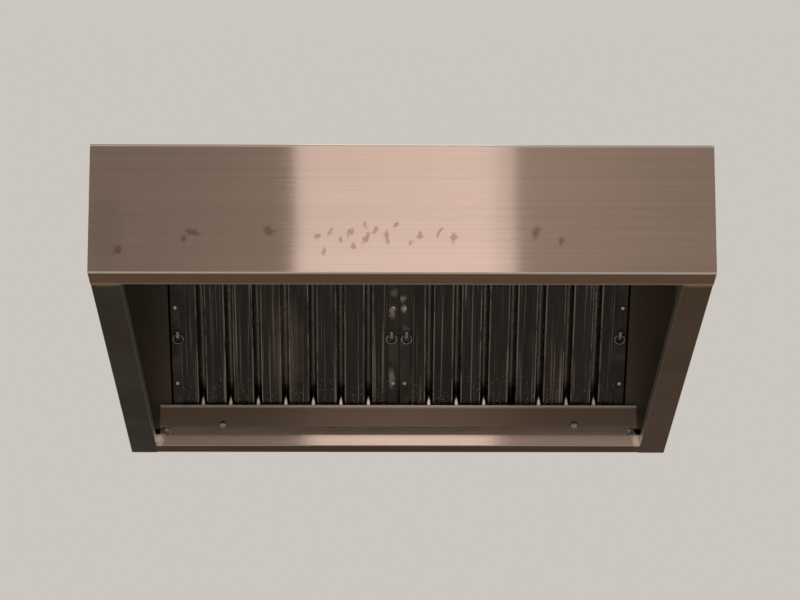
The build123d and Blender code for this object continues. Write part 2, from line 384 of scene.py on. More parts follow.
def touch_marks() -> tuple[Mark, ...]:
    """The finger marks and splashes on the front panel.

    Returns:
        The reddish marks, and the dull patch at the panel's left.
    """
    rust, dull = (0.17, 0.075, 0.060), (0.21, 0.195, 0.165)
    leans = (0.55, 0.27, -0.01)
    wider, taller = 1.35, 1.30
    front_y = cad_low.y
    # The place of each mark along X and Z, and its width and height
    places = (
        (-0.162, 0.072, 0.0045, 0.006), (-0.138, 0.080, 0.0035, 0.008),
        (-0.118, 0.064, 0.0040, 0.005), (-0.101, 0.078, 0.0045, 0.011),
        (-0.094, 0.052, 0.0035, 0.005), (-0.072, 0.093, 0.0035, 0.006),
        (-0.069, 0.066, 0.0045, 0.012), (-0.053, 0.083, 0.0035, 0.009),
        (-0.030, 0.070, 0.0050, 0.012), (-0.012, 0.094, 0.0035, 0.006),
        (0.014, 0.058, 0.0040, 0.005), (0.033, 0.073, 0.0045, 0.006),
        (0.070, 0.079, 0.0035, 0.010), (0.098, 0.068, 0.0045, 0.009),
        (-0.150, 0.042, 0.0035, 0.008), (-0.544, 0.043, 0.0060, 0.009),
        (-0.402, 0.078, 0.0140, 0.005), (-0.418, 0.066, 0.0050, 0.005),
        (-0.255, 0.081, 0.0100, 0.008), (0.255, 0.077, 0.0070, 0.012),
        (0.304, 0.061, 0.0060, 0.007),
    )
    marks = []
    for index, (x, z, wide, tall) in enumerate(places):
        reach = (wider * wide, 0.012, taller * tall)
        marks.append(Mark((x, front_y, z), reach, rust, 0.50, 0.38, leans[index % len(leans)]))
    marks.append(Mark((-0.568, front_y, 0.085), (0.040, 0.02, 0.095), dull, 0.16, 0.6))
    return tuple(marks)


def front_seam(x: float) -> tuple[float, float, float]:
    """A point on the front gutter's inner edge, where its lip folds up."""
    return (x, cad_low.y + FRONT_GUTTER, -FRONT_GUTTER * GUTTER_SLOPE)


def fold_highlights() -> tuple[Mark, ...]:
    """Painted highlights along the front sheet's folds.

    Returns:
        The panel's two long edges and the fold of the gutter's lip.
    """
    bright, dull = (0.80, 0.72, 0.64), (0.42, 0.34, 0.28)
    # Painted highlights: bright lines along the panel's top and bottom folds, and a dimmer one on the gutter lip's
    # fold
    folds = [
        Mark((0.0, cad_low.y, z), (ENDLESS, 0.006, 0.0036), bright, 0.85)
        for z in (-SHEET, CANOPY_TOP - 0.0008)
    ]
    folds.append(Mark(front_seam(0.0), (ENDLESS, 0.008, 0.009), dull, 0.55))
    return tuple(folds)


def lid_edge_highlight() -> tuple[Mark, ...]:
    """A painted highlight along the lid's front edge, over the front panel."""
    middle = (0.0, cad_low.y, CANOPY_TOP - SHEET / 2)
    # Painted highlight along the lid's front edge
    return (Mark(middle, (ENDLESS, 0.0015, 0.004), (0.95, 0.90, 0.85), 0.95),)


def hem_height() -> float:
    """The height of the hem along the top of the trough's front plate."""
    low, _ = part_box("grease_trough")
    return low.z + PLATE_HEIGHT


def hem_highlight() -> tuple[Mark, ...]:
    """A painted highlight along the trough's hem.

    Returns:
        One mark along the whole hem.
    """
    low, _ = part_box("grease_trough")
    middle = (0.0, low.y, hem_height())
    # Painted highlight along the whole hem
    return (Mark(middle, (ENDLESS, 0.006, 0.008), (0.55, 0.49, 0.43), 0.85),)


def rear_highlights() -> tuple[Mark, ...]:
    """Painted highlights over the rear gutter.

    Returns:
        A bright strip along the back sheet's inner face, and bright spots on the lip's two ends.
    """
    strip_highlight, end_highlight = (1.0, 0.93, 0.86), (1.0, 0.97, 0.90)
    half_lip = 0.012
    end_x = cad_high.x - SIDE_GUTTER - 0.008
    end_y = cad_high.y - REAR_GUTTER
    end_z = cad_low.z + REAR_GUTTER * GUTTER_SLOPE + half_lip
    inner = (0.0, cad_high.y - SHEET, cad_low.z + 0.065)
    # Painted highlights: a bright strip on the back sheet's inner face and bright spots on the lip's ends
    marks = [Mark(inner, (ENDLESS, SHEET, 0.050), strip_highlight, 0.95)]
    for side in SIDES:
        end = (side * end_x, end_y, end_z)
        marks.append(Mark(end, (0.011, 0.010, 0.016), end_highlight, 0.85, 0.15))
    return tuple(marks)


def corner_heat() -> tuple[Mark, ...]:
    """The tints beside the welds where the side gutters meet the front one.

    Returns:
        A straw and a blue tint at each corner.
    """
    straw, blue = (0.42, 0.25, 0.10), (0.16, 0.17, 0.24)
    marks = []
    for side in SIDES:
        middle = front_seam(side * (cad_high.x - SIDE_GUTTER / 2))
        marks.append(Mark(middle, (0.040, 0.012, 0.012), straw, 0.30, 0.10))
        marks.append(Mark(middle, (0.034, 0.004, 0.012), blue, 0.40, 0.05))
    return tuple(marks)


@dataclass(frozen=True)
class BrushedSheet:
    """Brushed stainless sheet, with hand marks, a film of grease inside, stains, and painted shade on the faces
    that look down.

    Args:
        name: The material's name.
        grain: The direction of the brushing.
        steel: The colour of the bare sheet.
        film_outside: How much grease lies on the canopy's outer faces, from 0 to 1.
        film_inside: How much lies on the faces towards its middle.
        film_and_shade_below: How much grease and painted shade lie on the faces that look down.
        grease: The colour of that film.
        film_metal: How much of the sheet's metal shows through the film, from 0 to 1.
        film_ior: How strongly the film glints: its index of refraction.
        gloss: The roughness of the clean sheet.
        brushed: How strongly the brushing shows, as a share of the sheet's brightness.
        marks: Stains, tints and painted highlights on it.
    """

    name: str
    grain: Grain = Grain.ALONG
    steel: Colour = (0.50, 0.462, 0.425)
    film_outside: float = 0.03
    film_inside: float = 0.75
    film_and_shade_below: float = 0.85
    grease: Colour = (0.105, 0.058, 0.030)
    film_metal: float = 0.55
    film_ior: float = 1.28
    gloss: float = 0.12
    brushed: float = 0.055
    marks: tuple[Mark, ...] = ()

    def cover(self, recipe: Recipe) -> Socket:
        """Finds the grease by the way that a face looks: outwards, inwards or down; on faces that look down it is
        also painted shade.

        Args:
            recipe: The material's tree.

        Returns:
            The share of grease and painted shade, from 0 to 1.
        """
        middle = tuple((low + high) / 2 for low, high in zip(cad_low, cad_high))
        outwards = recipe.vector("SUBTRACT", recipe.space, middle)
        agreed = recipe.vector("DOT_PRODUCT", recipe.normal(), outwards, out="Value")
        inside = recipe.ease(agreed, 0.0, 0.05, 1.0, 0.0)
        share = recipe.mixed(inside, self.film_outside, self.film_inside)
        # Faces that look down get the film as grease and painted shade
        down = recipe.ease(recipe.facing("Z"), -0.90, -0.60, 1.0, 0.0)
        return recipe.mixed(down, share, self.film_and_shade_below)

    def brushing(self, recipe: Recipe, across: float, along: float, detail: float) -> Socket:
        """Noise drawn out along the grain.

        Args:
            recipe: The material's tree.
            across: Its waves a metre across the grain.
            along: Its waves a metre along the grain.
            detail: How many finer layers it has.

        Returns:
            The noise, from 0 to 1.
        """
        return recipe.noise([across + (along - across) * a for a in self.grain.value], detail)

    def make(self) -> bpy.types.Material:
        """Builds the material.

        Returns:
            The finished material.
        """
        recipe = Recipe(self.name)
        fine = self.brushing(recipe, 700.0, 5.0, 2.0)
        coarse = self.brushing(recipe, 170.0, 0.7, 3.0)
        broad = self.brushing(recipe, 26.0, 0.25, 2.0)
        clouds = recipe.noise((3.1, 3.1, 3.7), 5.0, 0.6)
        wipes = recipe.noise((5.0, 5.0, 13.0), 4.0, 0.9)
        specks = recipe.noise((160.0, 160.0, 160.0), 2.0)
        drift = recipe.drift(110.0)

        streaks = recipe.mixed(0.40, coarse, fine)
        faint = 0.4 * self.brushed
        bright = recipe.ease(streaks, 0.30, 0.70, 1 - self.brushed, 1 + self.brushed)
        banded = recipe.ease(broad, 0.30, 0.70, 1 - faint, 1 + faint)
        cloudy = recipe.ease(clouds, 0.32, 0.68, 0.98, 1.015)
        tone = recipe.times(recipe.times(bright, banded), cloudy)
        handled = tuple(c * share for c, share in zip(self.steel, (0.94, 0.86, 0.82)))
        smeared = recipe.ease(wipes, 0.45, 0.75, 0.0, 0.12)
        steel = recipe.blend(smeared, recipe.scaled(self.steel, tone), handled)

        share = self.cover(recipe)
        patchy = recipe.mixed(0.5, clouds, wipes)
        film = recipe.times(share, recipe.ease(patchy, 0.34, 0.60, 0.96, 1.0))
        dots = recipe.ease(specks, 0.66, 0.78)
        film = recipe.scalar("MAXIMUM", film, recipe.times(dots, share), clamp=True)
        thin, thick = (tuple(f * c for c in self.grease) for f in (0.7, 1.3))
        colour = recipe.blend(film, steel, recipe.blend(patchy, thin, thick))
        for mark in self.marks:
            colour = recipe.blend(mark.cover(recipe, drift), colour, mark.tone)

        rough = recipe.ease(streaks, 0.25, 0.75, 0.87 * self.gloss, 1.20 * self.gloss)
        rough = recipe.scalar("ADD", rough, recipe.ease(wipes, 0.40, 0.80, 0.0, 0.12 * self.gloss))
        rough = recipe.mixed(film, rough, 0.44)
        metal = recipe.mixed(film, 1.0, self.film_metal)
        scratched = recipe.bump(streaks, 0.000025)
        buckled = recipe.bump(recipe.noise((1.6, 1.6, 2.4), 1.0), 0.0008, scratched)
        return recipe.finish(
            base_color=colour,
            metallic=metal,
            roughness=rough,
            normal=buckled,
            tangent=recipe.across(self.grain),
            anisotropic=1.0,
            ior=self.film_ior,
        )


@dataclass(frozen=True)
class GreasedBaffle:
    """A baffle's sheet, blackened with baked grease, with wear and painted highlights along its folds.

    Args:
        name: The material's name.
        middle: The filter's middle along the canopy.
        shift: 0.5 for the front row, whose number is even, and 0 for the rear row.
        highlight_share: How much of the wear and painted highlight shows: less on the rear row, which lies deeper
            in shade.
        crest_highlight: How bright the painted highlight is along the middle of a baffle.
        caked: Where old grease has baked to a lighter brown.
    """

    name: str
    middle: float
    shift: float
    highlight_share: float
    crest_highlight: float
    caked: tuple[Mark, ...]

    def make(self) -> bpy.types.Material:
        """Builds the material.

        Returns:
            The finished material.
        """
        recipe = Recipe(self.name)
        shifted = recipe.scalar("ADD", recipe.pitches(self.middle), 0.5 + self.shift)
        number = recipe.scalar("FLOOR", shifted)
        off = recipe.scalar("SUBTRACT", recipe.scalar("FRACT", shifted), 0.5)
        across = recipe.scalar("ABSOLUTE", off)
        edge = 0.5 * BAFFLE_WIDTH / BAFFLE_PITCH
        streaks = recipe.noise((330.0, 3.5, 2.5), 3.0, 0.2)
        broken = recipe.noise((45.0, 16.0, 11.0), 4.0, 0.8)
        # Wear and painted highlights along the baffles' folded edges, with painted highlight streaks
        wear_and_highlight = recipe.ease(across, edge - 0.062, edge - 0.015)
        wear_and_highlight = recipe.times(wear_and_highlight, recipe.ease(broken, 0.32, 0.60, 0.15, 1.0))
        wear_and_highlight = recipe.scalar("MAXIMUM", wear_and_highlight, recipe.ease(streaks, 0.56, 0.72, 0.0, 0.75))
        wear_and_highlight = recipe.times(wear_and_highlight, self.highlight_share, clamp=True)
        # Painted highlight along the middle of each baffle
        crest_highlight = recipe.ease(across, 0.018, 0.062, self.crest_highlight, 0.0)
        wear_and_highlight = recipe.scalar("MAXIMUM", wear_and_highlight, crest_highlight)

        cast = recipe.node("ShaderNodeTexWhiteNoise", {"W": number}, noise_dimensions="1D")
        black = recipe.blend(cast.outputs["Value"], (0.012, 0.014, 0.011), (0.024, 0.016, 0.014))
        drips = recipe.ease(recipe.noise((90.0, 9.0, 6.0), 4.0, 0.5), 0.50, 0.66, 0.0, 0.7)
        baked = recipe.blend(drips, black, (0.040, 0.027, 0.015))
        drift = recipe.drift(40.0)
        for mark in self.caked:
            streaky = recipe.ease(streaks, 0.35, 0.60, 0.45, 1.0)
            cover = recipe.times(mark.cover(recipe, drift), streaky)
            baked = recipe.blend(cover, baked, mark.tone)
        colour = recipe.blend(wear_and_highlight, baked, (0.31, 0.265, 0.215))
        rough = recipe.mixed(wear_and_highlight, recipe.ease(broken, 0.30, 0.70, 0.20, 0.46), 0.32)
        inputs = {"Vector": recipe.stretched((170.0,) * 3), "Scale": 1.0}
        beads = recipe.node("ShaderNodeTexVoronoi", inputs, feature="SMOOTH_F1")
        swelling = recipe.ease(beads.outputs["Distance"], 0.15, 0.55, 1.0, 0.0)
        return recipe.finish(
            base_color=colour,
            metallic=recipe.mixed(wear_and_highlight, 0.60, 1.0),
            roughness=rough,
            normal=recipe.bump(swelling, 0.0004),
            coat_weight=0.15,
            coat_roughness=0.12,
        )


@dataclass(frozen=True)
class GreasedFrame:
    """A filter frame's steel under baked grease, with bare patches and tongues painted as highlights.

    Args:
        name: The material's name.
        middle: The filter's middle along the canopy.
        foot_z: The height of the filter's foot.
        head_z: The height of its head.
        bared_highlights: Where bare steel is laid as painted highlights.
    """

    name: str
    middle: float
    foot_z: float
    head_z: float
    bared_highlights: tuple[Mark, ...]

    def make(self) -> bpy.types.Material:
        """Builds the material.

        Returns:
            The finished material.
        """
        recipe = Recipe(self.name)
        grain = recipe.noise((240.0, 240.0, 14.0), 3.0)
        clouds = recipe.noise((14.0, 14.0, 14.0), 5.0, 1.0)
        drift = recipe.drift(120.0)
        low = recipe.ease(recipe.axis("Z"), self.foot_z, self.head_z, 0.99, 0.94)
        film = recipe.times(low, recipe.ease(clouds, 0.30, 0.60, 0.90, 1.0))
        # Bare steel laid as painted highlights thins the film in patches
        for mark in self.bared_highlights:
            film_kept = recipe.scalar("SUBTRACT", 1.0, mark.cover(recipe, drift))
            film = recipe.times(film, film_kept)
        # The tongues' painted highlight: a bare, bright strip
        upright = self.tongue_highlight(recipe)
        steel = recipe.blend(grain, (0.34, 0.30, 0.26), (0.48, 0.43, 0.38))
        colour = recipe.blend(film, steel, (0.020, 0.014, 0.009))
        colour = recipe.blend(upright, colour, (0.62, 0.60, 0.56))
        film = recipe.mixed(upright, film, 0.0)
        return recipe.finish(
            base_color=colour,
            metallic=recipe.mixed(film, 1.0, 0.5),
            roughness=recipe.mixed(film, 0.24, 0.50),
            normal=recipe.bump(grain, 0.00005),
        )

    def tongue_highlight(self, recipe: Recipe) -> Socket:
        """Finds the painted highlight on the spreader tongues: bare steel, most at their middle and over the hem.

        Args:
            recipe: The material's tree.

        Returns:
            The share of bare metal that makes the painted highlight, from 0 to 1.
        """
        upright = recipe.scalar("GREATER_THAN", recipe.scalar("ABSOLUTE", recipe.facing("Y")), 0.97)
        across = recipe.off_centre(recipe.pitches(self.middle))
        highlight_half, greased_half = 0.0015 / BAFFLE_PITCH, 0.0050 / BAFFLE_PITCH
        middle = recipe.ease(across, highlight_half, greased_half, 1.0, 0.18)
        hem = hem_height()
        foot = recipe.ease(recipe.axis("Z"), hem + 0.010, hem + 0.022, 1.0, 0.22)
        return recipe.times(upright, recipe.times(middle, foot))


@dataclass(frozen=True)
class Galvanised:
    """Zinc-coated sheet with its spangle of crystals."""

    name: str

    def make(self) -> bpy.types.Material:
        """Builds the material.

        Returns:
            The finished material.
        """
        recipe = Recipe(self.name)
        inputs = {"Vector": recipe.stretched((75.0, 75.0, 75.0)), "Scale": 1.0}
        spangle = recipe.node("ShaderNodeTexVoronoi", inputs)
        shade = recipe.node("ShaderNodeSeparateColor", {0: spangle.outputs["Color"]}).outputs[0]
        clouds = recipe.noise((11.0, 11.0, 11.0), 4.0)
        zinc = recipe.blend(shade, (0.36, 0.38, 0.40), (0.60, 0.62, 0.63))
        colour = recipe.blend(recipe.ease(clouds, 0.48, 0.72, 0.0, 0.5), zinc, (0.47, 0.45, 0.42))
        return recipe.finish(
            base_color=colour,
            metallic=0.9,
            roughness=recipe.ease(shade, 0.0, 1.0, 0.34, 0.52),
            normal=recipe.bump(shade, 0.00005),
        )


@dataclass(frozen=True)
class BrightMetal:
    """Small bright pieces: screws, rivets, rings and weld beads.

    Args:
        name: The material's name.
        metal: Its colour.
        stain: What dulls it in its hollows.
        gloss: Its roughness where it is clean.
        stained: How much of it is dulled, from 0 to 1.
    """

    name: str
    metal: Colour
    stain: Colour = (0.16, 0.11, 0.07)
    gloss: float = 0.18
    stained: float = 0.35

    def make(self) -> bpy.types.Material:
        """Builds the material.

        Returns:
            The finished material.
        """
        recipe = Recipe(self.name)
        mottle = recipe.noise((420.0, 420.0, 420.0), 4.0, 0.4)
        dull = recipe.ease(mottle, 0.62 - 0.3 * self.stained, 0.80 - 0.2 * self.stained)
        return recipe.finish(
            base_color=recipe.blend(dull, self.metal, self.stain),
            metallic=recipe.mixed(dull, 1.0, 0.7),
            roughness=recipe.mixed(dull, self.gloss, self.gloss + 0.25),
            normal=recipe.bump(mottle, 0.00004),
        )


@dataclass(frozen=True)
class Grease:
    """Amber grease that stands in beads."""

    name: str

    def make(self) -> bpy.types.Material:
        """Builds the material.

        Returns:
            The finished material.
        """
        recipe = Recipe(self.name)
        depth = recipe.noise((190.0, 190.0, 190.0), 3.0)
        return recipe.finish(
            base_color=recipe.blend(depth, (0.085, 0.060, 0.034), (0.20, 0.145, 0.085)),
            roughness=recipe.ease(depth, 0.3, 0.7, 0.10, 0.26),
            normal=recipe.bump(depth, 0.0001),
            coat_weight=0.8,
            coat_roughness=0.06,
        )


@dataclass(frozen=True)
class Sealant:
    """Grey silicone, smoothed by a finger and dusty."""

    name: str

    def make(self) -> bpy.types.Material:
        """Builds the material.

        Returns:
            The finished material.
        """
        recipe = Recipe(self.name)
        dust = recipe.noise((120.0, 120.0, 120.0), 5.0, 0.5)
        return recipe.finish(
            base_color=recipe.blend(dust, (0.30, 0.30, 0.29), (0.46, 0.44, 0.41)),
            roughness=recipe.ease(dust, 0.3, 0.7, 0.42, 0.75),
            normal=recipe.bump(dust, 0.0003),
        )


def choose(*things: bpy.types.Object) -> None:
    """Selects just those objects and makes the first one active.

    Args:
        things: The objects.
    """
    bpy.ops.object.select_all(action="DESELECT")
    for thing in things:
        thing.select_set(True)
    bpy.context.view_layer.objects.active = things[0]


class Workpiece:
    """A mesh under the hand: it starts as a primitive and is shaped in edit mode."""

    def __init__(self, name: str, add: Callable[..., object], **settings: object) -> None:
        """Adds a primitive.

        Args:
            name: The piece's name.
            add: The operator that adds the primitive.
            settings: That operator's settings.
        """
        bpy.ops.object.select_all(action="DESELECT")
        add(**settings)
        self.thing = bpy.context.active_object
        self.thing.name = name
        self.thing.data.name = name

    @contextmanager
    def editing(self, whole: bool = False) -> Iterator[None]:
        """Goes into edit mode, and out of it again.

        Args:
            whole: Whether the whole mesh is selected, or nothing.

        Yields:
            Nothing: the work is done inside.
        """
        bpy.ops.object.mode_set(mode="EDIT")
        bpy.ops.mesh.select_mode(type="FACE")
        bpy.ops.mesh.select_all(action="SELECT" if whole else "DESELECT")
        yield
        bpy.ops.object.mode_set(mode="OBJECT")

    def pick_faces(self, test: Callable[[Vector, Vector], bool]) -> None:
        """Selects just the faces that pass a test.

        Args:
            test: What tells from a face's middle and normal whether it is picked.
        """
        mesh = bmesh.from_edit_mesh(self.thing.data)
        for face in mesh.faces:
            face.select_set(test(face.calc_center_median(), face.normal))
        mesh.select_flush_mode()
        bmesh.update_edit_mesh(self.thing.data)

    def halve(self) -> None:
        """Cuts away what is below the origin, closes the cut and selects what is left."""
        bpy.ops.mesh.bisect(plane_co=(0, 0, 0), plane_no=(0, 0, 1), use_fill=True, clear_inner=True)
        bpy.ops.mesh.select_all(action="SELECT")

    def push(self, distance: float) -> None:
        """Extrudes what is selected along Z."""
        move = {"value": (0, 0, distance)}
        bpy.ops.mesh.extrude_region_move(TRANSFORM_OT_translate=move)

    def modify(self, kind: str, **settings: object) -> None:
        """Adds a modifier and applies it.

        Args:
            kind: The modifier's type.
            settings: Its properties.
        """
        bpy.context.view_layer.objects.active = self.thing
        made = self.thing.modifiers.new(kind.title(), kind)
        for name, value in settings.items():
            setattr(made, name, value)
        bpy.ops.object.modifier_apply(modifier=made.name)

    def soften(self, width: float) -> None:
        """Rounds its sharp edges."""
        self.modify("BEVEL", width=width, segments=2, limit_method="ANGLE")

    def cut(self, tool: "Workpiece") -> None:
        """Takes another workpiece away from this one."""
        self.modify("BOOLEAN", operation="DIFFERENCE", solver="EXACT", object=tool.thing)
        bpy.data.objects.remove(tool.thing)

    def smooth(self, degrees: float = 35.0) -> None:
        """Shades it smooth except at edges sharper than that."""
        choose(self.thing)
        bpy.ops.object.shade_smooth_by_angle(angle=math.radians(degrees))


def settle(piece: bpy.types.Object) -> None:
    """Puts a piece's place into its mesh, so that its object sits at the origin."""
    piece.data.transform(piece.matrix_basis)
    piece.matrix_basis = Matrix.Identity(4)


def repeat(pattern: Workpiece, name: str, places: Iterable[Matrix]) -> bpy.types.Object:
    """Copies a workpiece to each place, each copy with its own mesh, and joins the copies.

    Args:
        pattern: The workpiece, modelled at the origin. It is removed.
        name: The joined piece's name.
        places: Where each copy goes.

    Returns:
        The joined piece, at the origin.
    """
    settle(pattern.thing)
    copies = []
    for place in places:
        copy = pattern.thing.copy()
        copy.data = pattern.thing.data.copy()
        copy.data.transform(place)
        bpy.context.scene.collection.objects.link(copy)
        copies.append(copy)
    bpy.data.objects.remove(pattern.thing)
    choose(*copies)
    if len(copies) > 1:
        bpy.ops.object.join()
    joined = bpy.context.view_layer.objects.active
    joined.name = name
    joined.data.name = name
    return joined


def dress(piece: bpy.types.Object, material: bpy.types.Material) -> None:
    """Gives a piece one material."""
    piece.data.materials.clear()
    piece.data.materials.append(material)


def hand_in(piece: bpy.types.Object, material: bpy.types.Material, body: str) -> None:
    """Dresses a finished piece and rides it on a body.

    Args:
        piece: The piece.
        material: Its material.
        body: The body that it moves with.
    """
    dress(piece, material)
    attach(piece, body)
    triangles = sum(len(face.vertices) - 2 for face in piece.data.polygons)
    log.info("%s: %d triangles on %s", piece.name, triangles, body)


def turned(angle: float, axis: str = "Z") -> Matrix:
    """A turn about an axis, in radians."""
    return Matrix.Rotation(angle, 4, axis)


def facing_front(x: float, y: float, z: float) -> Matrix:
    """The place of a fitting whose +Z should point to the front, out of an upright sheet."""
    return Matrix.Translation((x, y, z)) @ turned(math.pi / 2, "X")


def filter_middle(name: str) -> float:
    """Where a filter's middle is along the canopy."""
    low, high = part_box(f"{name}_filter_frame")
    return (low.x + high.x) / 2


def mount_sizes(name: str) -> dict[str, float]:
    """The sizes that the record gives for a mount, in millimetres."""
    return next(m["dims"] for m in frame["record"]["mounts"] if m["name"] == name)


@dataclass
class Slope:
    """The inclined plane of the filters' front faces."""

    along: Vector
    out: Vector
    foot: Vector

    @classmethod
    def read(cls) -> "Slope":
        """Finds the slope from a filter's joint and the filter's place.

        Returns:
            The slope.
        """
        along = Vector(frame["joints"][0]["axis"]).normalized()
        out = Vector((0.0, -along.z, along.y))
        low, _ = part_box("left_filter_frame")
        foot_y = low.y - FILTER_HEIGHT * along.y
        return cls(along, out, Vector((0.0, foot_y, low.z)))

    def place(self, x: float, rise: float, proud: float = 0.0) -> Matrix:
        """A place on the slope whose +Z points out of it and whose +Y points up along it.

        Args:
            x: Where it is along the canopy.
            rise: How far up the slope it is from the filters' feet.
            proud: How far out of the front face it is.

        Returns:
            The place as a matrix.
        """
        at = self.foot + self.along * rise + self.out * proud + Vector((x, 0.0, 0.0))
        side = self.along.cross(self.out)
        turn = Matrix((side, self.along, self.out)).transposed().to_4x4()
        return Matrix.Translation(at) @ turn


@dataclass
class WallBolts:
    """The four hexagon bolts and washers in the canopy's fixing holes."""

    across_flats: float = 0.013
    head_height: float = 0.0053
    crown: tuple[float, float] = (0.0009, 0.0005)
    dish: tuple[float, float] = (0.0012, -0.0003)
    washer_radius: float = 0.009
    washer_thickness: float = 0.0016
    shank_radius: float = 0.004

    def bolt(self) -> Workpiece:
        """Makes one bolt with its washer.

        Returns:
            The bolt, which points along +Z, with the sheet's back face at its origin.
        """
        seat = SHEET + self.washer_thickness
        corner = self.across_flats / math.sqrt(3)
        head = Workpiece(
            "bolt_head", bpy.ops.mesh.primitive_cylinder_add, vertices=6, radius=corner,
            depth=self.head_height, location=(0, 0, seat + self.head_height / 2)
        )
        settle(head.thing)
        with head.editing():
            head.pick_faces(lambda middle, normal: normal.z > 0.9)
            for inset, rise in (self.crown, self.dish):
                bpy.ops.mesh.inset(thickness=inset)
                bpy.ops.transform.translate(value=(0, 0, rise))
            head.pick_faces(lambda middle, normal: normal.z < -0.9)
            scale = self.shank_radius / corner
            head.push(0.0)
            bpy.ops.transform.resize(value=(scale, scale, 1))
            head.push(-seat)
        head.soften(0.0004)
        washer = Workpiece(
            "washer", bpy.ops.mesh.primitive_cylinder_add, vertices=40,
            radius=self.washer_radius, depth=self.washer_thickness,
            location=(0, 0, SHEET + self.washer_thickness / 2)
        )
        washer.soften(0.0003)
        settle(washer.thing)
        choose(head.thing, washer.thing)
        bpy.ops.object.join()
        head.smooth()
        return head

    def build(self, metal: bpy.types.Material) -> None:
        """Puts a bolt in each fixing hole that the record names, each at a turn of its own.

        Args:
            metal: The material that they get.
        """
        sizes = mount_sizes("wall_fixings")
        half_x = sizes["spacing_x_mm"] / 2000
        half_z = sizes["spacing_y_mm"] / 2000
        places = [
            facing_front(sx * half_x, 0.0, sz * half_z) @ turned(0.4 * sx + 0.7 * sz)
            for sx in SIDES
            for sz in SIDES
        ]
        hand_in(repeat(self.bolt(), "wall_bolts", places), metal, "canopy")


@dataclass
class PlateScrews:
    """The two domed cross-head screws along the foot of the trough's front plate."""

    offset: float = 0.388
    above_foot: float = 0.0065
    radius: float = 0.0075
    height: float = 0.0042
    cross: tuple[float, float, float] = (0.0075, 0.0016, 0.0042)

    def screw(self) -> Workpiece:
        """Makes one screw head.

        Returns:
            The head, which points along +Z from its seat at the origin.
        """
        head = Workpiece(
            "plate_screw", bpy.ops.mesh.primitive_uv_sphere_add, segments=36, ring_count=18,
            radius=self.radius
        )
        with head.editing(whole=True):
            head.halve()
            bpy.ops.transform.resize(value=(1, 1, self.height / self.radius))
        settle(head.thing)
        for turn in (0.0, math.pi / 2):
            slot = Workpiece(
                "cross_slot", bpy.ops.mesh.primitive_cube_add, size=1.0,
                location=(0, 0, self.height), rotation=(0, 0, turn), scale=self.cross
            )
            settle(slot.thing)
            head.cut(slot)
        head.soften(0.00025)
        head.smooth(40)
        return head

    def build(self, metal: bpy.types.Material) -> None:
        """Puts the screws on the plate.

        Args:
            metal: The material that they get.
        """
        low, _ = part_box("grease_trough")
        face_y = low.y + SHEET
        places = [
            facing_front(side * self.offset, face_y, low.z + self.above_foot)
            @ turned(0.5 + 0.9 * side)
            for side in SIDES
        ]
        hand_in(repeat(self.screw(), "trough_screws", places), metal, "canopy")


@dataclass
class Rivets:
    """Blind rivets: a low dome with the hollow that its pulled stem leaves."""

    radius: float = 0.0042
    height: float = 0.0016
    from_frame_edge: float = 0.010
    frame_rises: tuple[float, ...] = (0.016, 0.080, 0.265, 0.379)
    from_flange_edge: float = 0.011
    flange_count: int = 12

    def rivet(self) -> Workpiece:
        """Makes one rivet.

        Returns:
            The rivet, which points along +Z from its seat at the origin.
        """
        dome = Workpiece(
            "rivet", bpy.ops.mesh.primitive_cylinder_add, vertices=24, radius=self.radius,
            depth=self.height, location=(0, 0, self.height / 2)
        )
        settle(dome.thing)
        with dome.editing():
            dome.pick_faces(lambda middle, normal: normal.z > 0.9)
            bpy.ops.mesh.bevel(offset=0.0010, segments=4, affect="EDGES")
            dome.pick_faces(lambda middle, normal: normal.z > 0.999)
            bpy.ops.mesh.inset(thickness=0.0015)
            dome.push(-0.0009)
            bpy.ops.transform.resize(value=(0.86, 0.86, 1))
        dome.smooth(50)
        return dome

    def build_frames(self, slope: Slope, metal: bpy.types.Material) -> None:
        """Rivets the side members of both filter frames, which ride with them.

        Args:
            slope: The filters' slope.
            metal: The material that they get.
        """
        side_x = FILTER_WIDTH / 2 - self.from_frame_edge
        for name in FILTERS:
            middle = filter_middle(name)
            places = [
                slope.place(middle + side * side_x, rise)
                for side in SIDES
                for rise in self.frame_rises
            ]
            piece = repeat(self.rivet(), f"{name}_frame_rivets", places)
            hand_in(piece, metal, f"{name}_filter")

    def build_spigot(self, metal: bpy.types.Material) -> None:
        """Rivets the spigot's flange to the lid.

        Args:
            metal: The material that they get.
        """
        low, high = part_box("duct_spigot")
        centre = (low + high) / 2
        ring = (high.x - low.x) / 2 - self.from_flange_edge
        top = low.z + SHEET
        places = []
        for number in range(self.flange_count):
            angle = 2 * math.pi * (number + 0.5) / self.flange_count
            at = (centre.x + ring * math.cos(angle), centre.y + ring * math.sin(angle), top)
            places.append(Matrix.Translation(at))
        hand_in(repeat(self.rivet(), "spigot_rivets", places), metal, "canopy")


